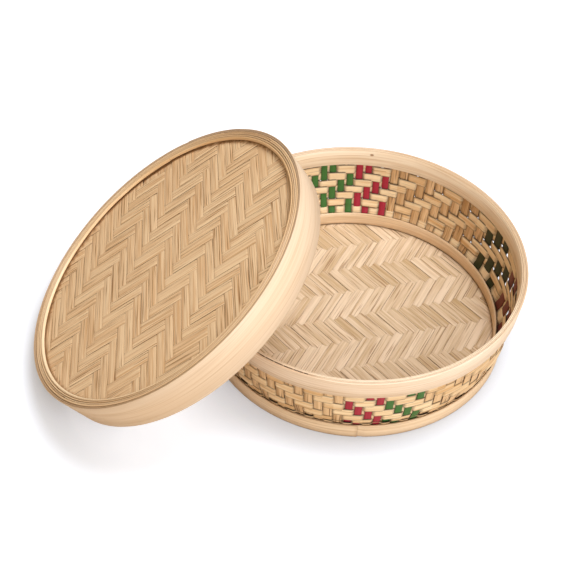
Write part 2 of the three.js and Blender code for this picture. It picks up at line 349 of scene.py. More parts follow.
def bamboo(name, *, pale, deep, edge, crevice_shade, fibre=0.5, tone=0.5, blotch=0.25, vein=0.5, fine=1300,
           coarse=380, grain=22, roughness=0.5, relief=0.06, coat=0.0, reach=1.2, depth=1.3, knot=False,
           edge_power=1.0):
    """Split bamboo: pale and deep are its two colours, then that of cut sides, which is partly painted
    shade, and the painted shade of crevices.

    fine, coarse and grain are repeats per metre across and along the strip. relief is the height of its
    fibres, and reach is how wide the painted shade of crevices may be.
    """
    material = bpy.data.materials.new(name)
    nodes, links, shader = links_of(material)
    thin = fibres(nodes, links, grain, fine, 2, THIN_SEED)
    broad = fibres(nodes, links, grain * BROAD_GRAIN, coarse, 2, BROAD_SEED)
    patch = fibres(nodes, links, *PATCH_REPEATS, 2, PATCH_SEED)
    line = fibres(nodes, links, grain * VEIN_GRAIN, fine * VEIN_FINENESS, 1, VEIN_SEED)

    streak = value_node(nodes, links, "MULTIPLY_ADD", thin, THIN_SHARE, -THIN_SHARE / 2)
    streak = value_node(nodes, links, "MULTIPLY_ADD", broad, BROAD_SHARE, streak)
    streak = value_node(nodes, links, "SUBTRACT", streak, BROAD_SHARE / 2)
    share = value_node(nodes, links, "MULTIPLY_ADD", streak, FIBRE_CONTRAST * fibre, DEEP_SHARE)
    own = value_node(nodes, links, "SUBTRACT", attribute(nodes, "tone"), 0.5)
    share = value_node(nodes, links, "MULTIPLY_ADD", own, tone, share)
    spot = value_node(nodes, links, "SUBTRACT", patch, 0.5)
    share = value_node(nodes, links, "MULTIPLY_ADD", spot, 2 * blotch, share, clamp=True)
    colour = mixed(nodes, links, share, pale, deep)
    dark_line = value_node(nodes, links, "MULTIPLY_ADD", line, VEIN_SLOPE, -VEIN_LEVEL, clamp=True)
    dark_line = value_node(nodes, links, "MULTIPLY", dark_line, vein)
    colour = mixed(nodes, links, dark_line, colour, edge)
    side = value_node(nodes, links, "POWER", attribute(nodes, "edge"), edge_power)
    side = value_node(nodes, links, "MULTIPLY", side, EDGE_SHARE)
    colour = mixed(nodes, links, side, colour, edge)
    if knot:
        colour = mixed(nodes, links, knot_share(nodes, links), colour, KNOT_COLOUR)
    # Painted shade: the colour goes towards crevice_shade in crevices and gaps
    open_share = openness(nodes, links, reach * MM, depth)
    links.new(mixed(nodes, links, open_share, crevice_shade, colour), shader.inputs["Base Color"])

    rough = value_node(nodes, links, "MULTIPLY_ADD", thin, ROUGHNESS_SPREAD, roughness - ROUGHNESS_SPREAD / 2)
    links.new(rough, shader.inputs["Roughness"])
    shader.inputs["Specular IOR Level"].default_value = BAMBOO_SPECULAR
    shader.inputs["Coat Weight"].default_value = coat
    shader.inputs["Coat Roughness"].default_value = COAT_ROUGHNESS
    bump = nodes.new("ShaderNodeBump")
    bump.inputs["Strength"].default_value = 1
    bump.inputs["Distance"].default_value = relief * MM
    height = value_node(nodes, links, "MULTIPLY_ADD", broad, BROAD_HEIGHT, thin)
    height = value_node(nodes, links, "MULTIPLY_ADD", dark_line, -VEIN_HOLLOW, height)
    links.new(height, bump.inputs["Height"])
    links.new(bump.outputs[0], shader.inputs["Normal"])
    return material


DYE_SEED = 5.2
DYE_REPEATS = (60, 1200)
DYE_SLOPE = 1.6
DYE_LEVEL = 0.55
DYE_RELIEF = 0.05
DYED_REACH = 1.2
DYED_ROUGHNESS = 0.55
DYED_SPECULAR = 0.3
DYED_CREVICE_SHADE = (0.015, 0.01, 0.008)


def dyed(name, colour, dark):
    """Flat dye on a split strip, a little thinner along the fibres, with painted shade in crevices."""
    material = bpy.data.materials.new(name)
    nodes, links, shader = links_of(material)
    thin = fibres(nodes, links, *DYE_REPEATS, 2, DYE_SEED)
    share = value_node(nodes, links, "MULTIPLY_ADD", thin, DYE_SLOPE, -DYE_LEVEL, clamp=True)
    base = mixed(nodes, links, share, dark, colour)
    # Painted shade in crevices
    base = mixed(nodes, links, openness(nodes, links, DYED_REACH * MM), DYED_CREVICE_SHADE, base)
    links.new(base, shader.inputs["Base Color"])
    shader.inputs["Roughness"].default_value = DYED_ROUGHNESS
    shader.inputs["Specular IOR Level"].default_value = DYED_SPECULAR
    bump = nodes.new("ShaderNodeBump")
    bump.inputs["Distance"].default_value = DYE_RELIEF * MM
    links.new(thin, bump.inputs["Height"])
    links.new(bump.outputs[0], shader.inputs["Normal"])
    return material


# Looks that the smooth hoops of the basket share
SMOOTH = {"tone": 0.3, "coarse": 450, "roughness": 0.42, "coat": 0.15}

HOOP = bamboo(
    "hoop_bamboo", pale=(0.92, 0.72, 0.50), deep=(0.72, 0.50, 0.28), edge=(0.52, 0.32, 0.15),
    crevice_shade=(0.30, 0.15, 0.06), fibre=0.8, blotch=0.35, **SMOOTH,
)
RIM = bamboo(
    "rim_bamboo", pale=(0.91, 0.74, 0.57), deep=(0.71, 0.49, 0.29), edge=(0.56, 0.36, 0.18),
    crevice_shade=(0.42, 0.25, 0.12), fibre=1.0, blotch=0.35, knot=True, **SMOOTH,
)
LINER = bamboo(
    "liner_bamboo", pale=(0.95, 0.80, 0.60), deep=(0.78, 0.58, 0.37), edge=(0.60, 0.38, 0.19),
    crevice_shade=(0.42, 0.25, 0.12), fibre=1.0, blotch=0.3, knot=True, **SMOOTH,
)
BAND = bamboo(
    "band_bamboo", pale=(0.82, 0.64, 0.46), deep=(0.65, 0.43, 0.23), edge=(0.52, 0.32, 0.15),
    crevice_shade=(0.30, 0.15, 0.06), fibre=0.6, tone=0.3, blotch=0.2, vein=0.35, fine=2000, coarse=800,
    grain=16, roughness=0.42, relief=0.04, coat=0.15,
)
RING = bamboo(
    "ring_bamboo", pale=(0.98, 0.79, 0.53), deep=(0.79, 0.51, 0.25), edge=(0.78, 0.51, 0.26),
    crevice_shade=(0.34, 0.16, 0.06), fibre=0.6, blotch=0.3, roughness=0.45, relief=0.05, coat=0.1, depth=1.0,
)
STAKE = bamboo(
    "stake_bamboo", pale=(0.80, 0.54, 0.29), deep=(0.50, 0.28, 0.11), edge=(0.20, 0.09, 0.03),
    crevice_shade=(0.04, 0.016, 0.006), fibre=1.2, tone=0.6, vein=0.9, fine=1000, grain=40, relief=0.12,
    reach=1.6, depth=1.8,
)
# The weavers' near-black cut sides and crevices are painted shade, for dark gaps between rows
WEAVER = bamboo(
    "weaver_bamboo", pale=(0.97, 0.78, 0.50), deep=(0.70, 0.42, 0.18), edge=(0.03, 0.012, 0.006),
    crevice_shade=(0.05, 0.02, 0.008), fibre=0.9, tone=0.7, vein=0.25, grain=40, relief=0.1, depth=1.4,
    edge_power=0.5,
)
FLOOR_STRIP = bamboo(
    "floor_bamboo", pale=(0.80, 0.64, 0.46), deep=(0.50, 0.34, 0.17), edge=(0.28, 0.14, 0.055),
    crevice_shade=(0.14, 0.06, 0.02), fibre=0.8, tone=0.6, vein=0.7, grain=40, relief=0.12,
)
LID_STRIP = bamboo(
    "lid_bamboo", pale=(0.96, 0.72, 0.45), deep=(0.75, 0.47, 0.24), edge=(0.36, 0.18, 0.065),
    crevice_shade=(0.14, 0.06, 0.02), fibre=1.8, tone=0.3, vein=1.0, fine=1800, coarse=1000, grain=30,
    relief=0.16, reach=0.9, depth=1.8,
)
RED = dyed("dyed_red_bamboo", (0.50, 0.03, 0.06), (0.36, 0.02, 0.04))
GREEN = dyed("dyed_green_bamboo", (0.065, 0.20, 0.04), (0.05, 0.16, 0.035))
MAROON = dyed("dyed_maroon_bamboo", (0.26, 0.075, 0.045), (0.18, 0.045, 0.03))
DARK_GREEN = dyed("dyed_dark_green_bamboo", (0.055, 0.06, 0.02), (0.04, 0.045, 0.015))


# Hoops bent from one split strip, the two thinned ends lapped

LAP_ANGLE = 26
# Where the lap of each hoop starts
HOOP_LAPS = {
    "rim_outer_hoop": 150,
    "base_outer_hoop": 246,
    "base_inner_hoop": 225,
    "lid_outer_band": 236,
    "lid_inner_ply": 216,
    "lid_press_hoop_outer": 120,
    "lid_press_hoop_inner": 270,
    "lid_support_hoop": 300,
}
FACE_REACH = 0.05
STEP_ANGLE = 1.25
LAP_FADE_ANGLE = 1.5
OPEN_FADE_ANGLE = 5
WOBBLE = 0.08
WOBBLE_TURNS = (3, 5, 9)
# Brown of hoops' cut sides, partly their own colour and partly painted shade
HOOP_STAIN_AND_SHADE = 0.5
# A painted highlight takes the brown off the cut sides round an azimuth
HIGHLIGHT_START = 0.6
HIGHLIGHT_FADE = 0.25
# Painted shade makes a hoop browner round an azimuth
SHADE_TONE = 0.9


def hoop_sizes(node, placing):
    """Heights, outer radii and thickness of a CAD hoop, read from its vertices."""
    points = local_points(node, placing)
    radius, z = np.hypot(points[:, 0], points[:, 1]), points[:, 2]
    foot, top = z < z.min() + FACE_REACH, z > z.max() - FACE_REACH
    return {
        "foot_z": z.min(),
        "top_z": z.max(),
        "foot_outer": radius[foot].max(),
        "top_outer": radius[top].max(),
        "thickness": np.ptp(radius[foot]),
    }


def add_hoop(strips, sizes, lap_start, *, corner, tone, lap=LAP_ANGLE, tip=0.35, play=0.25,
             worn_at=None, aged_at=None):
    """A hoop whose head lies inside its tail for lap degrees; below nought, its ends stand apart.

    tip is the thickness of its ends, as a share, and play is the room between them in the lap. Its cut
    edges are brown, partly their own colour and partly painted shade, and a painted highlight pales them
    round the azimuth worn_at. Painted shade makes it browner round aged_at.
    """
    thickness = sizes["thickness"]
    turned = np.arange(0, 360 + lap + 0.01, STEP_ANGLE)
    left = 360 + lap - turned
    end = thickness - play

    def cut(run):
        if lap < 0:
            return thickness / 2 * (1 - smooth_step(run / OPEN_FADE_ANGLE))
        body = tip * end + (end - 2 * tip * end) * np.clip(run / lap, 0, 1)
        return (thickness - body) * (1 - smooth_step((run - lap) / LAP_FADE_ANGLE))

    outer_cut, inner_cut = cut(turned), cut(left)
    angle = np.radians(lap_start + turned)
    phase = strips.random.uniform(0, 2 * math.pi, 3)
    ripple = sum(np.sin(f * angle + p) / f for f, p in zip(WOBBLE_TURNS, phase)) * WOBBLE
    radial = np.stack([np.cos(angle), np.sin(angle), 0 * angle], -1)
    up = np.array([0, 0, 1.0])
    inset = -thickness / 2 + (inner_cut - outer_cut) / 2 + ripple
    foot = radial * (sizes["foot_outer"] + inset)[:, None] + up * sizes["foot_z"]
    top = radial * (sizes["top_outer"] + inset)[:, None] + up * sizes["top_z"]
    across = unit(top - foot)
    through = radial - across * np.sum(radial * across, -1, keepdims=True)
    height = np.linalg.norm(top - foot, axis=1)
    stain = np.full(len(angle), HOOP_STAIN_AND_SHADE)
    # Painted highlight on the cut sides
    if worn_at is not None:
        worn = np.cos(angle - math.radians(worn_at))
        stain *= 1 - smooth_step((worn - HIGHLIGHT_START) / HIGHLIGHT_FADE)
    # Painted shade, deepest at aged_at
    if aged_at is not None:
        tone = tone + SHADE_TONE * np.cos(angle - math.radians(aged_at))[:, None]
    strips.add((foot + top) / 2, across, unit(through), height, thickness - outer_cut - inner_cut,
               corner=corner, tone=tone, stain=stain)


def plain_hoop(name, node, body, seed, material=HOOP, **looks):
    """A CAD hoop in its own place, as one piece."""
    placing = BASKET if body == "basket" else LID
    strips = StripMesh(seed)
    add_hoop(strips, hoop_sizes(node, placing), HOOP_LAPS[node], **looks)
    strips.make(name, material, body, "hoop_bamboo", [node], placing)


PLY_GAP = 0.1
PLY_LAP_STEP_ANGLE = 37


def add_plies(strips, sizes, lap_start, rises, **looks):
    """The thin plies that a hoop is wound from, the outermost first; rises are their tops' heights."""
    plies = len(rises)
    thickness = (sizes["thickness"] - PLY_GAP * (plies - 1)) / plies
    for ply, rise in enumerate(rises):
        inset = ply * (thickness + PLY_GAP)
        own = dict(sizes, thickness=thickness, foot_outer=sizes["foot_outer"] - inset,
                   top_outer=sizes["top_outer"] - inset, top_z=sizes["top_z"] + rise)
        add_hoop(strips, own, lap_start + PLY_LAP_STEP_ANGLE * ply, play=0.1, **looks)


# Wall: its weave is that of the CAD part, and the stakes stand wider apart round azimuth 0

STAKE_COUNT = 92
FIRST_STAKE_ANGLE = 78.8
NARROW_PITCH_ANGLE = 3.485
WIDE_PITCH_ANGLE = 6.13
WIDE_REACH_ANGLE = 80
FOOT_RADIUS = 116.4
WEAVE_REPEAT = 4
WEAVE_OVER = 2
WEAVE_START = 2
FOOT_ROW = 7

# A cover is a stake's width as a share of the way to the next one. A spread is that of random numbers.
DYED_STAKE_COVER = 0.74
PLAIN_STAKE_COVER = 0.90
WIDE_STAKE_COVER = 0.72
STAKE_THICKNESS = 0.7
STAKE_CORNER = 0.15
STAKE_CROWN = 0.06
STAKE_OUTER_SHIFT = -0.4
STAKE_POINTS = 30
STAKE_SPREAD = 0.1
LEAN_SPREAD = 0.12
LEAN_CENTRE = 0.4

WEAVER_THICKNESS = 0.6
WEAVER_OFFSET = 0.78
FOOT_WEAVER_OFFSET = 0.62
WEAVER_CORNER = 0.24
WEAVER_BEVEL = 0.95
WEAVER_CROWN = 0.04
WEAVER_OUTER_SHIFT = 0.3
WEAVER_TURN = 0.19
WEAVER_DRIFT = 0.12
DRIFT_TURNS = (2, 5, 11, 23)
WEAVER_SWELL = 0.05
SWELL_TURNS = (7, 3)
POINTS_PER_STAKE = 12
FOOT_ROW_TONE = 0.6
DYED_ZONE_PALER = 0.4
# Brown of weavers' cut sides away from dyed stakes, partly their own colour and partly painted shade
PLAIN_ZONE_STAIN_AND_SHADE = 0.55
PASS_SHADE = 0.22

# Neighbouring rows overlap by the lap, and the first and last are hidden further behind the hoops
ROW_LAP = 1.35
ROW_TILT = 0.08
FIRST_ROW_REACH = 2.4
FOOT_ROW_REACH = 3.0

# The CAD wall's bends are eased within the reach, and its lower rows bulge further out
LEVEL_STEP = 1
EASE_REACH = 3.5
EASE_POINTS = 9
WALL_BULGE = 2.6
BULGE_START, BULGE_RISE = 10.5, 5
BULGE_END, BULGE_FALL = 22, 16


def wall_profile():
    """Heights and radii of the middle of the wall, from one dyed stake of the CAD part."""
    points = node_points("red_stake_back_1")
    direction = unit(points[:, :2].mean(0))
    radius = points[:, :2] @ direction
    heights = sorted({round(float(z), 2) for z in points[:, 2]})
    kept = [heights[0]]
    for z in heights[1:]:
        if z - kept[-1] > LEVEL_STEP:
            kept.append(z)
    return kept, [radius[abs(points[:, 2] - z) < LEVEL_STEP / 2].mean() for z in kept]


WALL_HEIGHTS, WALL_RADII = wall_profile()


def wall_radius(z):
    """Radius of the middle of the wall at a height."""
    z = np.asarray(z)
    reach = np.linspace(-EASE_REACH, EASE_REACH, EASE_POINTS)
    rise, fall = smooth_step((z - BULGE_START) / BULGE_RISE), smooth_step((z - BULGE_END) / BULGE_FALL)
    eased = np.mean([np.interp(z + d, WALL_HEIGHTS, WALL_RADII) for d in reach], axis=0)
    return eased + WALL_BULGE * rise * (1 - fall)


def pitch_at(azimuth):
    """Degrees from a stake at this azimuth to the next."""
    from_wide = (azimuth + 180) % 360 - 180
    swell = math.cos(math.pi / 2 * min(abs(from_wide) / WIDE_REACH_ANGLE, 1)) ** 2
    return NARROW_PITCH_ANGLE + (WIDE_PITCH_ANGLE - NARROW_PITCH_ANGLE) * swell


def stake_azimuths():
    """Azimuths of all stakes and of the first one again."""
    turns = [0.0]
    for _ in range(STAKE_COUNT):
        azimuth = FIRST_STAKE_ANGLE + turns[-1]
        turns.append(turns[-1] + pitch_at(azimuth + pitch_at(azimuth) / 2))
    return FIRST_STAKE_ANGLE + np.array(turns) * 360 / turns[-1]


STAKE_AZIMUTHS = stake_azimuths()


def stake_index(node):
    """Number of the stake that a dyed CAD node is."""
    x, y = node_points(node)[:, :2].mean(0)
    azimuth = math.degrees(math.atan2(y, x))
    away = (STAKE_AZIMUTHS[:-1] - azimuth + 180) % 360 - 180
    return int(np.argmin(abs(away)))


def add_stake(strips, index, narrow_cover):
    """One upright strip, a little uneven in width and place."""
    random = strips.random
    low, high = WALL_HEIGHTS[0], WALL_HEIGHTS[-1]
    z = np.linspace(low, high, STAKE_POINTS)
    azimuth = STAKE_AZIMUTHS[index]
    angle = math.radians(azimuth) + random.normal(0, STAKE_SPREAD) / WALL_RADII[0]
    lean = random.normal(0, LEAN_SPREAD) * (z / high - LEAN_CENTRE)
    radial, tangent = turn(angle), turn(angle + math.pi / 2)
    middle = radial * wall_radius(z)[:, None] + tangent * lean[:, None] + np.outer(z, (0, 0, 1))
    along = np.gradient(middle, axis=0)
    through = unit(np.cross(tangent, along))
    pitch = pitch_at(azimuth)
    wide = (pitch - NARROW_PITCH_ANGLE) / (WIDE_PITCH_ANGLE - NARROW_PITCH_ANGLE)
    cover = narrow_cover + (WIDE_STAKE_COVER - narrow_cover) * wide
    width = cover * FOOT_RADIUS * math.radians(pitch) + random.normal(0, STAKE_SPREAD)
    strips.add(middle, tangent, through, width, STAKE_THICKNESS, corner=STAKE_CORNER,
               crown=STAKE_CROWN, skin=STAKE_OUTER_SHIFT)


def weaver_outside(index, row):
    """Whether the weaver of a row passes outside a stake."""
    if row == FOOT_ROW:
        return index % 2 == 0
    return (row - index - WEAVE_START) % WEAVE_REPEAT < WEAVE_OVER


def row_limits():
    """Feet and tops of the weavers by row, drawn out until they overlap by ROW_LAP."""
    boxes = {row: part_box(f"weaver_{row}") for row in range(1, FOOT_ROW + 1)}
    feet = {row: low.z / MM for row, (low, _) in boxes.items()}
    tops = {row: high.z / MM for row, (_, high) in boxes.items()}
    for row in range(1, FOOT_ROW):
        between = (feet[row] + tops[row + 1]) / 2
        feet[row] = between - ROW_LAP / 2
        tops[row + 1] = between + ROW_LAP / 2
    tops[1] += FIRST_ROW_REACH
    feet[FOOT_ROW] -= FOOT_ROW_REACH
    return feet, tops


ROW_FEET, ROW_TOPS = row_limits()


def add_weaver(strips, row, dyed_indices):
    """One weaver, laid smoothly outside and inside the stakes in turn, and paler by dyed ones."""
    foot, top = ROW_FEET[row], ROW_TOPS[row]
    z = (foot + top) / 2
    place = np.arange(STAKE_COUNT * POINTS_PER_STAKE) / POINTS_PER_STAKE
    side = np.array([1.0 if weaver_outside(k, row) else -1.0 for k in range(STAKE_COUNT)])
    here = np.round(place).astype(int)
    past = place - here
    beside = (here + np.sign(past).astype(int)) % STAKE_COUNT
    here = here % STAKE_COUNT
    blend = smooth_step((np.abs(past) - (0.5 - WEAVER_TURN)) / (2 * WEAVER_TURN))
    wave = side[here] * (1 - blend) + side[beside] * blend

    random = strips.random
    angle = np.radians(np.interp(place, np.arange(STAKE_COUNT + 1), STAKE_AZIMUTHS))
    phase = random.uniform(0, 2 * math.pi, 4)
    drift = sum(np.sin(f * angle + p) for f, p in zip(DRIFT_TURNS, phase)) * WEAVER_DRIFT
    swell = np.prod([np.sin(f * angle + p) for f, p in zip(SWELL_TURNS, phase)], axis=0)
    height = (top - foot) * (1 + WEAVER_SWELL * swell)

    radial = np.stack([np.cos(angle), np.sin(angle), 0 * angle], -1)
    slope = (wall_radius(z + 1) - wall_radius(z - 1)) / 2
    across = unit(radial * (slope - ROW_TILT) + np.array([0, 0, 1.0]))
    offset = FOOT_WEAVER_OFFSET if row == FOOT_ROW else WEAVER_OFFSET
    middle = radial * (wall_radius(z) + offset * wave)[:, None] + np.outer(z + drift, (0, 0, 1))
    along = unit(np.roll(middle, -1, 0) - np.roll(middle, 1, 0))
    through = unit(np.cross(along, across))
    through *= np.sign(np.sum(through * radial, 1, keepdims=True))

    dyed_here = np.array([float(k in dyed_indices) for k in range(STAKE_COUNT)])
    dyed_here = np.maximum(dyed_here, np.maximum(np.roll(dyed_here, 1), np.roll(dyed_here, -1)))[here]
    tone = FOOT_ROW_TONE if row == FOOT_ROW else random.uniform()
    strips.add(middle, across, through, height, WEAVER_THICKNESS, closed=True, corner=WEAVER_CORNER,
               bevel=WEAVER_BEVEL, crown=WEAVER_CROWN, skin=WEAVER_OUTER_SHIFT,
               tone=(tone - DYED_ZONE_PALER * dyed_here)[:, None],
               shade=PASS_SHADE * (1 - np.abs(wave))[:, None],
               stain=PLAIN_ZONE_STAIN_AND_SHADE + (1 - PLAIN_ZONE_STAIN_AND_SHADE) * dyed_here)


def build_wall():
    """The plain stakes as one piece, each dyed stake, and each weaver."""
    plain = StripMesh(11)
    dyed_nodes = [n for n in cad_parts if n.startswith(("red_stake", "green_stake"))]
    taken = {stake_index(n) for n in dyed_nodes}
    for index in range(STAKE_COUNT):
        if index not in taken:
            add_stake(plain, index, PLAIN_STAKE_COVER)
    plain.make("plain_stakes", STAKE, "basket", "woven_strip", ["rim_liner_with_stakes"])
    for node in sorted(dyed_nodes):
        one = StripMesh(200 + stake_index(node))
        add_stake(one, stake_index(node), DYED_STAKE_COVER)
        red = node.startswith("red")
        bright, dark = (RED, MAROON) if red else (GREEN, DARK_GREEN)
        name = node.replace("_stake", "_dyed_stake")
        slot = "dyed_red" if red else "dyed_green"
        one.make(name, dark if "right" in node else bright, "basket", slot, [node])
    for row in range(1, FOOT_ROW + 1):
        strips = StripMesh(300 + row)
        add_weaver(strips, row, taken)
        strips.make(f"wall_weaver_{row}", WEAVER, "basket", "woven_strip", [f"weaver_{row}"])


# Rim and base hoops

# Inside the outer hoop are a filler over the stake ends and the liner in two plies. For each: its inset
# from the outer hoop, thickness, height, drop of its top, and where its lap starts and how long it is.
RIM_PLIES = (
    (0.03, 0.95, 2.2, 0.25, 253, -17),
    (1.03, 0.95, 13.6, 0.0, 200, 26),
    (2.03, 0.95, 14.0, 0.3, 150, 26),
)
# Azimuth of the painted highlight on the rim's top edges
HIGHLIGHT_AZIMUTH = 298
# Azimuth of the painted shade on the rim's outer hoop
RIM_SHADED_AZIMUTH = 185


def build_rim():
    """The outer hoop, and the plies inside it as one piece."""
    plain_hoop("rim_outer_band", "rim_outer_hoop", "basket", 21, RIM, corner=0.4, tone=0.2,
               worn_at=HIGHLIGHT_AZIMUTH, aged_at=RIM_SHADED_AZIMUTH)
    hoop = hoop_sizes("rim_outer_hoop", BASKET)
    flare = (hoop["top_outer"] - hoop["foot_outer"]) / (hoop["top_z"] - hoop["foot_z"])
    room = hoop["top_outer"] - hoop["thickness"]
    strips = StripMesh(22)
    for inset, thickness, height, drop, lap_start, lap in RIM_PLIES:
        own = {
            "foot_z": hoop["top_z"] - drop - height,
            "top_z": hoop["top_z"] - drop,
            "foot_outer": room - inset - flare * (height + drop),
            "top_outer": room - inset - flare * drop,
            "thickness": thickness,
        }
        add_hoop(strips, own, lap_start, lap=lap, corner=0.25, play=0.12, tone=0.3, worn_at=HIGHLIGHT_AZIMUTH)
    strips.make("rim_inner_plies", LINER, "basket", "hoop_bamboo", ["rim_liner_with_stakes"])


BASE_HOOP_DROP = 0.9
BASE_HOOP_THICKNESS = 1.7


def build_base():
    """The two hoops at the foot of the wall, the outer one a little lower and thinner than the CAD's."""
    sizes = hoop_sizes("base_outer_hoop", BASKET)
    sizes["top_z"] -= BASE_HOOP_DROP
    sizes["thickness"] = BASE_HOOP_THICKNESS
    strips = StripMesh(31)
    add_hoop(strips, sizes, HOOP_LAPS["base_outer_hoop"], corner=0.4, tone=0.35, tip=0.15)
    strips.make("base_outer_band", HOOP, "basket", "hoop_bamboo", ["base_outer_hoop"])
    plain_hoop("base_inner_band", "base_inner_hoop", "basket", 32, corner=0.4, tone=0.6)


# Mats: two sets of strips in 4/4 twill, folded up at the rim of the mat

# A step is the way from one strip to the next along the strips of the other set. The corner is where
# four strips meet, in steps of the two sets from a corner that was read from the photo. The widths are
# shares of the pitch, and the tones are the ranges of the two sets: random within a set, and the gap
# between the sets' ranges is painted shade. light_edge is a painted highlight along each strip's
# left edge.
FLOOR_MAT = {
    "steps": ((4.85, -5.38), (3.57, 7.68)),
    "corner": (10.03, 2.61),
    "corner_at": (1.0, -0.1),
    "widths": (0.995, 0.975),
    "tones": ((0.0, 0.7), (0.35, 1.0)),
    "crown": 0.08,
    "bevel": 0.5,
    "light_edge": 0.6,
    "edge_drop": 0.3,
}
LID_MAT = {
    "steps": ((-7.25, -0.76), (0.67, -10.15)),
    "corner": (-34.7, 0.45),
    "corner_at": (4.72, 1.0),
    "widths": (1.0, 0.98),
    "tones": ((0.2, 1.0), (0.0, 0.8)),
    "crown": 0.04,
    "bevel": 0.75,
    "light_edge": 2.6,
    "edge_drop": 1.5,
}
FLOAT_LENGTH = 4
TURN_REACH = 0.22
OVER_REACH = 0.06
MAT_STRIP = 0.62
MAT_CORNER = 0.18
MAT_LEVEL = 0.34
MAT_POINT_STEP = 1.1
# Brown of a mat strip's outer edges, partly their own colour and partly painted shade
MAT_UPPER_STAIN_AND_SHADE = 0.3
MAT_EDGE_INSET = 0.35
PLACE_SPREAD = 0.1
ROLL_SPREAD = 0.02
WIDTH_SPREAD = 0.012
FOLD_RADIUS = 1.2
FOLD_FLATTENING = 0.75
# The painted shade of the joint starts this far inside the ring
JOINT_SHADE_INSET = 0.9


def float_share(place):
    """How far a strip is on top at a place along it, in steps from the start of a float."""
    place = (place + FLOAT_LENGTH / 2) % (2 * FLOAT_LENGTH) - FLOAT_LENGTH / 2
    rise = smooth_step(0.5 + (place + OVER_REACH) / (2 * TURN_REACH))
    fall = smooth_step(0.5 + (FLOAT_LENGTH + OVER_REACH - place) / (2 * TURN_REACH))
    return rise * fall


def folded_up(points, radius, rise, middle_z):
    """Points of flat strips, bent up where they pass the mat's edge; z is the height over the mat."""
    flat, lift = points[..., :2], points[..., 2]
    rho = np.linalg.norm(flat, axis=-1)
    out = flat / np.maximum(rho, 1e-6)[..., None]
    beyond = np.clip(rho - (radius - FOLD_RADIUS), 0, rise + FOLD_RADIUS)
    turned = np.minimum(beyond / FOLD_RADIUS, math.pi / 2)
    ground = np.minimum(rho, radius - FOLD_RADIUS) + FOLD_RADIUS * np.sin(turned)
    height = FOLD_RADIUS * (1 - np.cos(turned)) + np.maximum(beyond - FOLD_RADIUS * math.pi / 2, 0)
    lift = lift * (1 - np.clip(beyond / (2 * FOLD_RADIUS), 0, 1) * FOLD_FLATTENING)
    ground = ground - lift * np.sin(turned)
    height = height + lift * np.cos(turned) + middle_z
    return np.concatenate([out * ground[..., None], height[..., None]], -1)


def add_mat(meshes, mat, radius, rise, middle_z, joint_radius):
    """Fills two meshes, one per set of strips. The mat stands up by rise at its edge's radius."""
    steps = np.array(mat["steps"])
    origin = np.array(mat["corner"]) - np.array(mat["corner_at"]) @ steps
    reach = radius + rise
    area = abs(steps[0, 0] * steps[1, 1] - steps[0, 1] * steps[1, 0])
    for which, strips in enumerate(meshes):
        random = strips.random
        sideways, along = steps[which], steps[1 - which]
        length = np.linalg.norm(along)
        d = along / length
        n = np.array([d[1], -d[0]])
        pitch = area / length
        middle_index = round(float(-(origin @ n) / (sideways @ n)))
        span = math.ceil(reach / pitch)
        for index in range(middle_index - span, middle_index + span):
            start = origin + (index + 0.5) * sideways
            offset = start @ n + random.normal(0, PLACE_SPREAD)
            if abs(offset) > radius - pitch / 2:
                continue
            half = math.sqrt(reach ** 2 - offset ** 2)
            t = np.linspace(-half, half, max(int(2 * half / MAT_POINT_STEP), 4))
            flat = n * offset + np.outer(t, d)
            place = (t - start @ d) / length
            first = index if which == 0 else index + 1
            lift = (2 * float_share(place - first) - 1) * MAT_LEVEL
            middle = np.concatenate([flat, lift[:, None]], 1)
            across = np.array([n[0], n[1], random.normal(0, ROLL_SPREAD)])
            slope = np.gradient(middle, axis=0)
            through = unit(np.cross(across, slope))
            through *= np.sign(through[:, 2:])
            width = pitch * mat["widths"][which] * (1 + random.normal(0, WIDTH_SPREAD))
            strips.add(middle, across, through, width, MAT_STRIP, corner=MAT_CORNER, bevel=mat["bevel"],
                       crown=mat["crown"], tone=random.uniform(*mat["tones"][which]),
                       upper=MAT_UPPER_STAIN_AND_SHADE, light_edge=mat["light_edge"], joint_radius=joint_radius,
                       bend=lambda points: folded_up(points, radius, rise, middle_z))


def mat_sizes(node, placing, edge_drop):
    """Radius of the mat's turned-up edge, its rise, and the height of the middle of its strips."""
    points = local_points(node, placing)
    radius, z = np.hypot(points[:, 0], points[:, 1]), points[:, 2]
    top = z[radius < 1].max()
    return radius.max() - MAT_EDGE_INSET, z.max() - top - edge_drop, (top + z.min()) / 2


def build_mats():
    """The floor's mat and the lid's, which has painted shade in the joint with its ring."""
    press = hoop_sizes("lid_press_hoop_inner", LID)
    ring_radius = press["foot_outer"] - press["thickness"] - JOINT_SHADE_INSET
    for name, node, body, placing, mat, material, seed, joint_radius in (
        ("floor", "floor_mat", "basket", BASKET, FLOOR_MAT, FLOOR_STRIP, 41, None),
        ("lid", "lid_mat", "lid", LID, LID_MAT, LID_STRIP, 51, ring_radius),
    ):
        meshes = [StripMesh(seed), StripMesh(seed + 1)]
        add_mat(meshes, mat, *mat_sizes(node, placing, mat["edge_drop"]), joint_radius)
        for strips, suffix in zip(meshes, ("warp", "weft")):
            strips.make(f"{name}_{suffix}_strips", material, body, "mat_strip", [node], placing)


# Lid hoops: from the outside in, the ring is the band, a second ply, a binding and two press plies

RING_GAP = 0.12
PLY_CORNER = 0.5
SECOND_PLY_RISE = 0.6
BAND_PLY_RISES = (0, -0.2)
# Azimuth of the painted shade on the side band
BAND_SHADED_AZIMUTH = 20
BINDING_THICKNESS = 1.05
BINDING_HEIGHT = 1.6
BINDING_LAP = 20
PRESS_THICKNESS = 1.2
OUTER_PRESS_DROP = 0.15
INNER_PRESS_DROP = 0.35
INNER_PRESS_FOOT_RISE = 1.2
# Azimuth of the painted shade on the slanted inner ply
INNER_PRESS_SHADED_AZIMUTH = 235


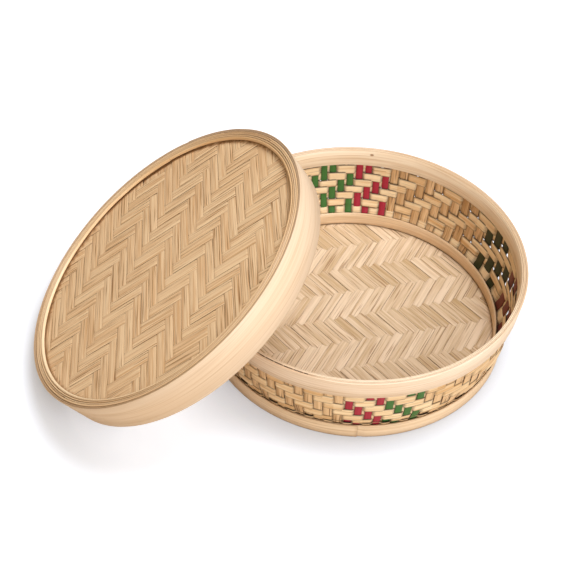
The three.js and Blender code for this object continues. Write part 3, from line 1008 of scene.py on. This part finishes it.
def build_lid():
    """The side band in two plies, the ring of plies that holds the mat, and the hoop under it."""
    band = hoop_sizes("lid_outer_band", LID)
    side = StripMesh(61)
    add_plies(side, band, HOOP_LAPS["lid_outer_band"], BAND_PLY_RISES, corner=0.3, tone=0.1,
              aged_at=BAND_SHADED_AZIMUTH)
    side.make("lid_side_band", BAND, "lid", "hoop_bamboo", ["lid_outer_band"], LID)
    second = hoop_sizes("lid_inner_ply", LID)
    inner = StripMesh(62)
    add_plies(inner, second, HOOP_LAPS["lid_inner_ply"], (SECOND_PLY_RISE,), corner=PLY_CORNER, tone=0.4)
    inner.make("lid_second_ply", RING, "lid", "hoop_bamboo", ["lid_inner_ply"], LID)

    inside_second = second["top_outer"] - second["thickness"] - RING_GAP
    outer_press, inner_press = (hoop_sizes(f"lid_press_hoop_{side}", LID) for side in ("outer", "inner"))
    top = outer_press["top_z"]
    binding = {
        "foot_z": top - BINDING_HEIGHT,
        "top_z": top,
        "foot_outer": inside_second,
        "top_outer": inside_second,
        "thickness": BINDING_THICKNESS,
    }
    outer_press["top_outer"] = inside_second - BINDING_THICKNESS - RING_GAP
    outer_press["thickness"] = PRESS_THICKNESS
    outer_press["top_z"] = top - OUTER_PRESS_DROP
    press = StripMesh(63)
    add_hoop(press, binding, BINDING_LAP, corner=PLY_CORNER, tone=0.2, play=0.1)
    add_hoop(press, outer_press, HOOP_LAPS["lid_press_hoop_outer"], corner=PLY_CORNER, tone=0.5, play=0.1)
    press.make("lid_press_plies_outer", RING, "lid", "hoop_bamboo", ["lid_press_hoop_outer"], LID)

    inner_press["top_outer"] = outer_press["top_outer"] - PRESS_THICKNESS - RING_GAP
    inner_press["top_z"] = top - INNER_PRESS_DROP
    inner_press["foot_z"] += INNER_PRESS_FOOT_RISE
    slanted = StripMesh(64)
    add_hoop(slanted, inner_press, HOOP_LAPS["lid_press_hoop_inner"], corner=0.4, tone=0.5, play=0.1,
             aged_at=INNER_PRESS_SHADED_AZIMUTH)
    slanted.make("lid_press_ply_inner", RING, "lid", "hoop_bamboo", ["lid_press_hoop_inner"], LID)
    plain_hoop("lid_support_band", "lid_support_hoop", "lid", 65, corner=0.6, tone=0.6)


# Stage and lamps, in metres

WHITE = (1.0, 1.0, 1.0)
SKY_COLOUR = (1.0, 0.74, 0.48)
SKY_LEVEL = 0.3
FLOOR_REACH = 4.0
FLOOR_COLOUR = (0.74, 0.67, 0.58)
FLOOR_SEEN_COLOUR = (0.53, 0.58, 0.65)
FLOOR_GLOW = 0.71
GLOW_COLOUR = (1.0, 0.99, 1.0)
# The floor's glow is dimmed near the object by a painted contact shadow
CONTACT_REACH = 0.055
CONTACT_DEPTH = 1.4
CONTACT_SAMPLES = 16
LAMP_COLOUR = (0.94, 0.96, 1.0)
LAMP_TARGET = (0, 0, 0.03)
# Place, size and power of each lamp
LAMPS = {
    "key": ((0.42, 0.08, 2.0), 1.0, 30.5),
    "front": ((0.75, -1.7, 1.15), 1.6, 32),
}


def build_floor():
    """A floor that looks white to the camera, but for the object's shadow, and lights nothing. The shadow is
    partly cast by the lamps and partly painted, as a contact shadow that dims its glow near the object.
    """
    mesh = bpy.data.meshes.new("studio_floor")
    corners = [(x * FLOOR_REACH, y * FLOOR_REACH, 0) for x, y in ((-1, -1), (1, -1), (1, 1), (-1, 1))]
    mesh.from_pydata(corners, [], [(0, 1, 2, 3)])
    floor = bpy.data.objects.new("studio_floor", mesh)
    bpy.context.scene.collection.objects.link(floor)
    material = bpy.data.materials.new("studio_floor")
    nodes, links, shader = links_of(material)
    shader.inputs["Roughness"].default_value = 1
    shader.inputs["Specular IOR Level"].default_value = 0
    seen = nodes.new("ShaderNodeLightPath").outputs["Is Camera Ray"]
    links.new(mixed(nodes, links, seen, FLOOR_COLOUR, FLOOR_SEEN_COLOUR), shader.inputs["Base Color"])
    # Painted contact shadow: the glow dims where the object hems the floor in
    open_share = openness(nodes, links, CONTACT_REACH, CONTACT_DEPTH, CONTACT_SAMPLES)
    glow = value_node(nodes, links, "MULTIPLY", seen, FLOOR_GLOW)
    glow = value_node(nodes, links, "MULTIPLY", glow, open_share)
    shader.inputs["Emission Color"].default_value = (*GLOW_COLOUR, 1)
    links.new(glow, shader.inputs["Emission Strength"])
    mesh.materials.append(material)


def build_sky():
    """A warm dim sky that the camera sees as white."""
    world = bpy.data.worlds.new("studio")
    bpy.context.scene.world = world
    world.use_nodes = True
    nodes, links = world.node_tree.nodes, world.node_tree.links
    background = nodes["Background"]
    seen = nodes.new("ShaderNodeLightPath").outputs["Is Camera Ray"]
    links.new(mixed(nodes, links, seen, SKY_COLOUR, WHITE), background.inputs["Color"])
    strength = value_node(nodes, links, "MULTIPLY_ADD", seen, 1 - SKY_LEVEL, SKY_LEVEL)
    links.new(strength, background.inputs["Strength"])


def build_lamps():
    """Two round soft lamps, aimed at the object."""
    for name, (place, size, power) in LAMPS.items():
        data = bpy.data.lights.new(name, "AREA")
        data.shape = "DISK"
        data.size = size
        data.energy = power
        data.color = LAMP_COLOUR
        lamp = bpy.data.objects.new(name, data)
        lamp.location = place
        aim = Vector(LAMP_TARGET) - Vector(place)
        lamp.rotation_euler = aim.to_track_quat("-Z", "Y").to_euler()
        bpy.context.scene.collection.objects.link(lamp)


CAMERA_PLACE = (-53.1, -737.4, 796.0)
CAMERA_PITCH_ANGLE = 45.97
CAMERA_ROLL_ANGLE = 2.63
CAMERA_FOCAL_PIXELS = 1369.0
CAMERA_CLIPS = (0.05, 20)
IMAGE_PIXELS = 576
SENSOR = 36.0


def build_camera():
    """The camera looks along +Y and down by the pitch, then rolls about its own line of sight."""
    pitch, roll = math.radians(CAMERA_PITCH_ANGLE), math.radians(CAMERA_ROLL_ANGLE)
    right = np.array([1.0, 0, 0])
    up = np.array([0, math.sin(pitch), math.cos(pitch)])
    back = np.array([0, -math.cos(pitch), math.sin(pitch)])
    rolled_right = math.cos(roll) * right + math.sin(roll) * up
    rolled_up = -math.sin(roll) * right + math.cos(roll) * up
    data = bpy.data.cameras.new("camera")
    data.sensor_width = SENSOR
    data.lens = CAMERA_FOCAL_PIXELS * SENSOR / IMAGE_PIXELS
    data.clip_start, data.clip_end = CAMERA_CLIPS
    camera = bpy.data.objects.new("camera", data)
    matrix = np.eye(4)
    matrix[:3, 0], matrix[:3, 1], matrix[:3, 2] = rolled_right, rolled_up, back
    matrix[:3, 3] = np.array(CAMERA_PLACE) * MM
    camera.matrix_world = Matrix(matrix.tolist())
    bpy.context.scene.collection.objects.link(camera)
    bpy.context.scene.camera = camera


build_camera()
build_wall()
build_rim()
build_base()
build_mats()
build_lid()
build_floor()
build_sky()
build_lamps()

bpy.context.scene.view_settings.view_transform = "Standard"
